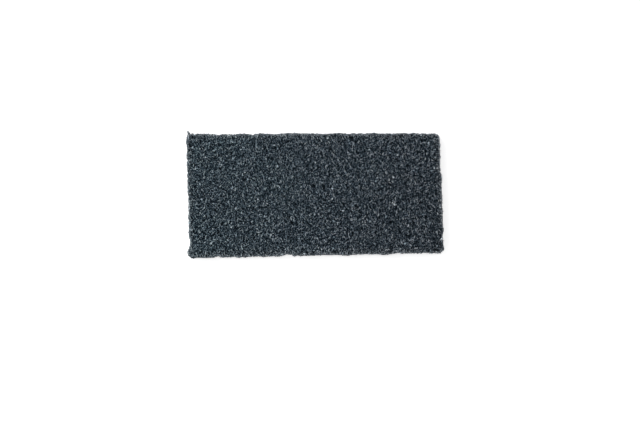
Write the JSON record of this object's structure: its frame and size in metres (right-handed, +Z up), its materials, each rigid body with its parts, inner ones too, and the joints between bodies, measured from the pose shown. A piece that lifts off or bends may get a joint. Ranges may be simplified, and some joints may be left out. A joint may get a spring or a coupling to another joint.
{
  "type": "hand scrubbing pad",
  "caption": "Thick rectangular hand scrubbing pad of stiff, open nonwoven fibre web, dark slate, with roughly cut edges and coarse scouring faces.",
  "frame": {"origin": "middle of the underside: the centre of the bounding box, at its lowest plane", "axes": "+X along the pad's length, towards the right end in the picture; +Y across its width, towards the upper edge in the picture; +Z up, out of the upper scouring face"},
  "size_m": [0.2538, 0.1236, 0.022],
  "materials": {
    "fibre_web": "open nonwoven web of crimped nylon fibres, bonded with a dark slate abrasive resin, matt with small glints"
  },
  "bodies": {
    "root": {"scrubbing_pad": "fibre_web"}
  },
  "joints": []
}
